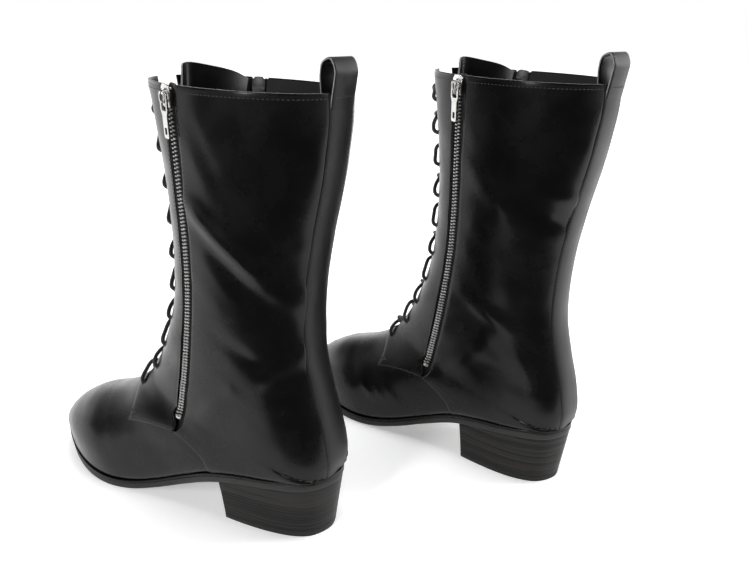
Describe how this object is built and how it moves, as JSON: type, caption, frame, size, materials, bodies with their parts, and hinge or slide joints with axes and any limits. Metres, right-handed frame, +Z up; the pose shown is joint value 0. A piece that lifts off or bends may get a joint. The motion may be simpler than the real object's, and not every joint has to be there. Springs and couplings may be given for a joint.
{
  "type": "pair of lace-up ankle boots",
  "caption": "Pair of black mid-calf lace-up dress boots with side zips, almond toes, stacked block heels and pull tabs.",
  "frame": {"origin": "on the floor, under the middle of the pair", "axes": "+Z up, toes towards -Y, the left boot on the +X side"},
  "size_m": [0.2726, 0.4077, 0.3256],
  "materials": {
    "black_leather": "polished, high gloss",
    "lining_leather": "matt black lining leather",
    "sole_leather": "dyed black, satin edge",
    "stacked_leather": "stacked layers, dyed dark, satin",
    "heel_rubber": "matt black",
    "fibreboard": "brown pressed board",
    "spring_steel": "brushed",
    "zip_metal": "nickel finish",
    "zip_tape": "woven, matt black",
    "lace_cord": "waxed round cord"
  },
  "bodies": {
    "pair": {"left_vamp": "black_leather", "left_outer_facing": "black_leather", "left_outer_quarter": "black_leather", "left_outer_zip_tape": "zip_tape", "left_outer_zip_chain": "zip_metal", "left_inner_facing": "black_leather", "left_inner_quarter": "black_leather", "left_inner_zip_tape": "zip_tape", "left_inner_zip_chain": "zip_metal", "left_back_strip": "black_leather", "left_pull_tab": "black_leather", "left_tongue": "black_leather", "left_lining": "lining_leather", "left_heel_counter": "fibreboard", "left_toe_puff": "fibreboard", "left_lace": "lace_cord", "left_welt": "sole_leather", "left_outsole": "sole_leather", "left_insole_board": "fibreboard", "left_sock_liner": "lining_leather", "left_shank": "spring_steel", "left_sole_filler": "fibreboard", "left_heel_stack": "stacked_leather", "left_top_lift": "heel_rubber", "right_vamp": "black_leather", "right_outer_facing": "black_leather", "right_outer_quarter": "black_leather", "right_outer_zip_tape": "zip_tape", "right_outer_zip_chain": "zip_metal", "right_inner_facing": "black_leather", "right_inner_quarter": "black_leather", "right_inner_zip_tape": "zip_tape", "right_inner_zip_chain": "zip_metal", "right_back_strip": "black_leather", "right_pull_tab": "black_leather", "right_tongue": "black_leather", "right_lining": "lining_leather", "right_heel_counter": "fibreboard", "right_toe_puff": "fibreboard", "right_lace": "lace_cord", "right_welt": "sole_leather", "right_outsole": "sole_leather", "right_insole_board": "fibreboard", "right_sock_liner": "lining_leather", "right_shank": "spring_steel", "right_sole_filler": "fibreboard", "right_heel_stack": "stacked_leather", "right_top_lift": "heel_rubber"},
    "left_outer_slider": {"left_outer_zip_slider": "zip_metal"},
    "left_outer_puller": {"left_outer_zip_puller": "zip_metal"},
    "left_inner_slider": {"left_inner_zip_slider": "zip_metal"},
    "left_inner_puller": {"left_inner_zip_puller": "zip_metal"},
    "right_outer_slider": {"right_outer_zip_slider": "zip_metal"},
    "right_outer_puller": {"right_outer_zip_puller": "zip_metal"},
    "right_inner_slider": {"right_inner_zip_slider": "zip_metal"},
    "right_inner_puller": {"right_inner_zip_puller": "zip_metal"}
  },
  "joints": [
    {"name": "left_outer_zip_run", "type": "slide", "parent": "pair", "child": "left_outer_slider", "axis": [-0.0769, -0.0859, -0.9933], "range_m": [0, 0.092]},
    {"name": "left_outer_puller_swing", "type": "hinge", "parent": "left_outer_slider", "child": "left_outer_puller", "pos_m": [0.13014, 0.00114, 0.30638], "axis": [-0.1973, -0.9753, 0.0996], "range_deg": [0, 105]},
    {"name": "left_inner_zip_run", "type": "slide", "parent": "pair", "child": "left_inner_slider", "axis": [0.0933, -0.0681, -0.9933], "range_m": [0, 0.092]},
    {"name": "left_inner_puller_swing", "type": "hinge", "parent": "left_inner_slider", "child": "left_inner_puller", "pos_m": [0.03649, -0.00862, 0.30638], "axis": [-0.3942, 0.9136, -0.0997], "range_deg": [0, 105]},
    {"name": "right_outer_zip_run", "type": "slide", "parent": "pair", "child": "right_outer_slider", "axis": [0.0769, -0.0859, -0.9933], "range_m": [0, 0.092]},
    {"name": "right_outer_puller_swing", "type": "hinge", "parent": "right_outer_slider", "child": "right_outer_puller", "pos_m": [-0.13014, 0.11264, 0.30638], "axis": [-0.1973, 0.9753, -0.0996], "range_deg": [0, 105]},
    {"name": "right_inner_zip_run", "type": "slide", "parent": "pair", "child": "right_inner_slider", "axis": [-0.0933, -0.0681, -0.9933], "range_m": [0, 0.092]},
    {"name": "right_inner_puller_swing", "type": "hinge", "parent": "right_inner_slider", "child": "right_inner_puller", "pos_m": [-0.03649, 0.10288, 0.30638], "axis": [-0.3942, -0.9136, 0.0997], "range_deg": [0, 105]}
  ]
}
